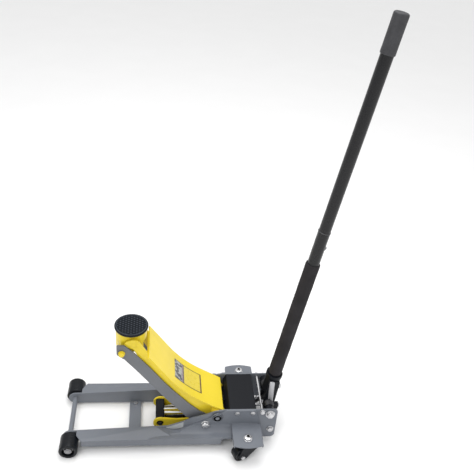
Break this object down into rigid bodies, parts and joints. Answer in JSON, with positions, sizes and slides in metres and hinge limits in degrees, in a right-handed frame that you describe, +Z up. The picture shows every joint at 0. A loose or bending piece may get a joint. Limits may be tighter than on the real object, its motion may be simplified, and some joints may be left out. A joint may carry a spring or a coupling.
{
  "type": "hydraulic trolley jack",
  "caption": "Low-profile hydraulic trolley jack: steel frame on rollers and swivel casters, lift arm with a levelled saddle, and a long two-piece pump handle.",
  "frame": {"origin": "centre of the object's box in plan, on the floor that the rollers and casters stand on", "axes": "+X from the saddle end towards the handle end, +Y towards the jack's right side, +Z up"},
  "size_m": [0.953, 0.4054, 1.5324],
  "materials": {
    "frame_paint": "satin grey paint",
    "bar_paint": "satin grey paint",
    "yellow_paint": "semi-gloss yellow paint",
    "black_paint": "satin black paint",
    "tube_paint": "gloss black paint",
    "zinc_plate": "zinc plated",
    "chrome_rod": "hard chrome",
    "roller_plastic": "gloss black",
    "saddle_rubber": "matte rubber",
    "sleeve_foam": "matte foam",
    "grip_rubber": "matte rubber"
  },
  "bodies": {
    "frame": {"side_rail_left": "frame_paint", "side_rail_right": "frame_paint", "side_skin_left": "frame_paint", "side_skin_right": "frame_paint", "caster_bracket_left": "frame_paint", "caster_bracket_right": "frame_paint", "front_axle": "frame_paint", "axle_nuts": "zinc_plate", "axle_washers": "zinc_plate", "cross_plate": "frame_paint", "cross_plate_bolts": "zinc_plate", "rear_cross_rod": "zinc_plate", "rear_tie_bar": "zinc_plate", "top_cover": "black_paint", "cover_bolts": "zinc_plate", "arm_shaft": "zinc_plate", "shaft_rings": "zinc_plate", "tie_bar_bolts": "zinc_plate", "ram_cylinder": "black_paint", "ram_guard": "black_paint", "power_unit": "black_paint", "reservoir": "black_paint", "socket_bolts": "zinc_plate", "king_pins": "zinc_plate"},
    "front_roller_left": {"front_roller_left": "roller_plastic"},
    "front_roller_right": {"front_roller_right": "roller_plastic"},
    "lift_arm": {"lift_arm": "yellow_paint", "arm_cover": "yellow_paint", "saddle_pin": "yellow_paint", "link_pins": "zinc_plate"},
    "tie_bars": {"tie_bar_left": "bar_paint", "tie_bar_right": "bar_paint"},
    "saddle_bracket": {"saddle_bracket": "yellow_paint", "level_bolts": "yellow_paint"},
    "saddle": {"saddle": "black_paint", "saddle_pad": "saddle_rubber"},
    "ram": {"ram_yoke": "black_paint", "yoke_pins": "zinc_plate", "ram_rod": "chrome_rod"},
    "ram_links": {"ram_link_left": "yellow_paint", "ram_link_right": "yellow_paint"},
    "pump_plungers": {"pump_plungers": "chrome_rod"},
    "release_spindle": {"release_spindle": "zinc_plate"},
    "handle_socket": {"handle_socket": "black_paint", "pump_rollers": "zinc_plate", "clamp_bolt": "zinc_plate"},
    "handle": {"release_shaft": "zinc_plate", "lower_tube": "tube_paint", "handle_sleeve": "sleeve_foam", "joint_collar": "zinc_plate", "upper_tube": "tube_paint", "handle_grip": "grip_rubber"},
    "snap_button": {"snap_button": "zinc_plate"},
    "caster_fork_left": {"caster_fork_left": "black_paint", "caster_axle_left": "zinc_plate"},
    "caster_fork_right": {"caster_fork_right": "black_paint", "caster_axle_right": "zinc_plate"},
    "caster_wheel_left": {"caster_wheel_left": "roller_plastic"},
    "caster_wheel_right": {"caster_wheel_right": "roller_plastic"}
  },
  "joints": [
    {"name": "arm_lift", "type": "hinge", "parent": "frame", "child": "lift_arm", "pos_m": [0.07244, 0, 0.124], "axis": [0, 1, 0], "range_deg": [-54.8, 8]},
    {"name": "tie_bar_swing", "type": "hinge", "parent": "frame", "child": "tie_bars", "pos_m": [0.03144, 0, 0.091], "axis": [0, 1, 0], "range_deg": [-54.8, 8]},
    {"name": "saddle_level", "type": "hinge", "parent": "lift_arm", "child": "saddle_bracket", "pos_m": [-0.22263, 0, 0.42849], "axis": [0, 1, 0], "range_deg": [-8, 54.8]},
    {"name": "saddle_spin", "type": "hinge", "parent": "saddle_bracket", "child": "saddle", "pos_m": [-0.23363, 0, 0.47249], "axis": [0, 0, 1], "continuous": true},
    {"name": "ram_stroke", "type": "slide", "parent": "frame", "child": "ram", "axis": [1, 0, 0], "range_m": [-0.00886, 0.06007]},
    {"name": "link_level", "type": "hinge", "parent": "lift_arm", "child": "ram_links", "pos_m": [0.04623, 0, 0.06343], "axis": [0, 1, 0], "range_deg": [-8, 54.8]},
    {"name": "handle_pump", "type": "hinge", "parent": "frame", "child": "handle_socket", "pos_m": [0.26344, 0, 0.131], "axis": [0, 1, 0], "range_deg": [-6, 62]},
    {"name": "plunger_stroke", "type": "slide", "parent": "frame", "child": "pump_plungers", "axis": [-1, 0, 0], "range_m": [-0.00293, 0.02932]},
    {"name": "handle_twist", "type": "hinge", "parent": "handle_socket", "child": "handle", "pos_m": [0.26344, 0, 0.131], "axis": [0.1357, 0, 0.9907], "range_deg": [0, 180]},
    {"name": "release_valve", "type": "hinge", "parent": "frame", "child": "release_spindle", "pos_m": [0.26344, 0, 0.131], "axis": [0.766, 0, 0.6428], "range_deg": [0, 180]},
    {"name": "snap_press", "type": "slide", "parent": "handle", "child": "snap_button", "axis": [-0.9907, 0, 0.1357], "range_m": [0, 0.005], "stiffness_N_per_m": 400, "springref_m": -0.003},
    {"name": "roller_spin_left", "type": "hinge", "parent": "frame", "child": "front_roller_left", "pos_m": [-0.44456, -0.126, 0.032], "axis": [0, 1, 0], "continuous": true},
    {"name": "roller_spin_right", "type": "hinge", "parent": "frame", "child": "front_roller_right", "pos_m": [-0.44456, 0.126, 0.032], "axis": [0, 1, 0], "continuous": true},
    {"name": "caster_swivel_left", "type": "hinge", "parent": "frame", "child": "caster_fork_left", "pos_m": [0.17844, -0.164, 0.08], "axis": [0, 0, 1], "continuous": true},
    {"name": "caster_swivel_right", "type": "hinge", "parent": "frame", "child": "caster_fork_right", "pos_m": [0.17844, 0.164, 0.08], "axis": [0, 0, 1], "continuous": true},
    {"name": "caster_spin_left", "type": "hinge", "parent": "caster_fork_left", "child": "caster_wheel_left", "pos_m": [0.15401, -0.17289, 0.028], "axis": [-0.342, 0.9397, 0], "continuous": true},
    {"name": "caster_spin_right", "type": "hinge", "parent": "caster_fork_right", "child": "caster_wheel_right", "pos_m": [0.15401, 0.17289, 0.028], "axis": [0.342, 0.9397, 0], "continuous": true}
  ],
  "couplings": [
    {"joint": "tie_bar_swing", "follows": "arm_lift", "ratio": 1},
    {"joint": "saddle_level", "follows": "arm_lift", "ratio": -1},
    {"joint": "ram_stroke", "follows": "arm_lift", "m_per_rad": -0.0627},
    {"joint": "link_level", "follows": "arm_lift", "ratio": -1},
    {"joint": "plunger_stroke", "follows": "handle_pump", "m_per_rad": 0.027},
    {"joint": "release_valve", "follows": "handle_twist", "ratio": 1}
  ]
}
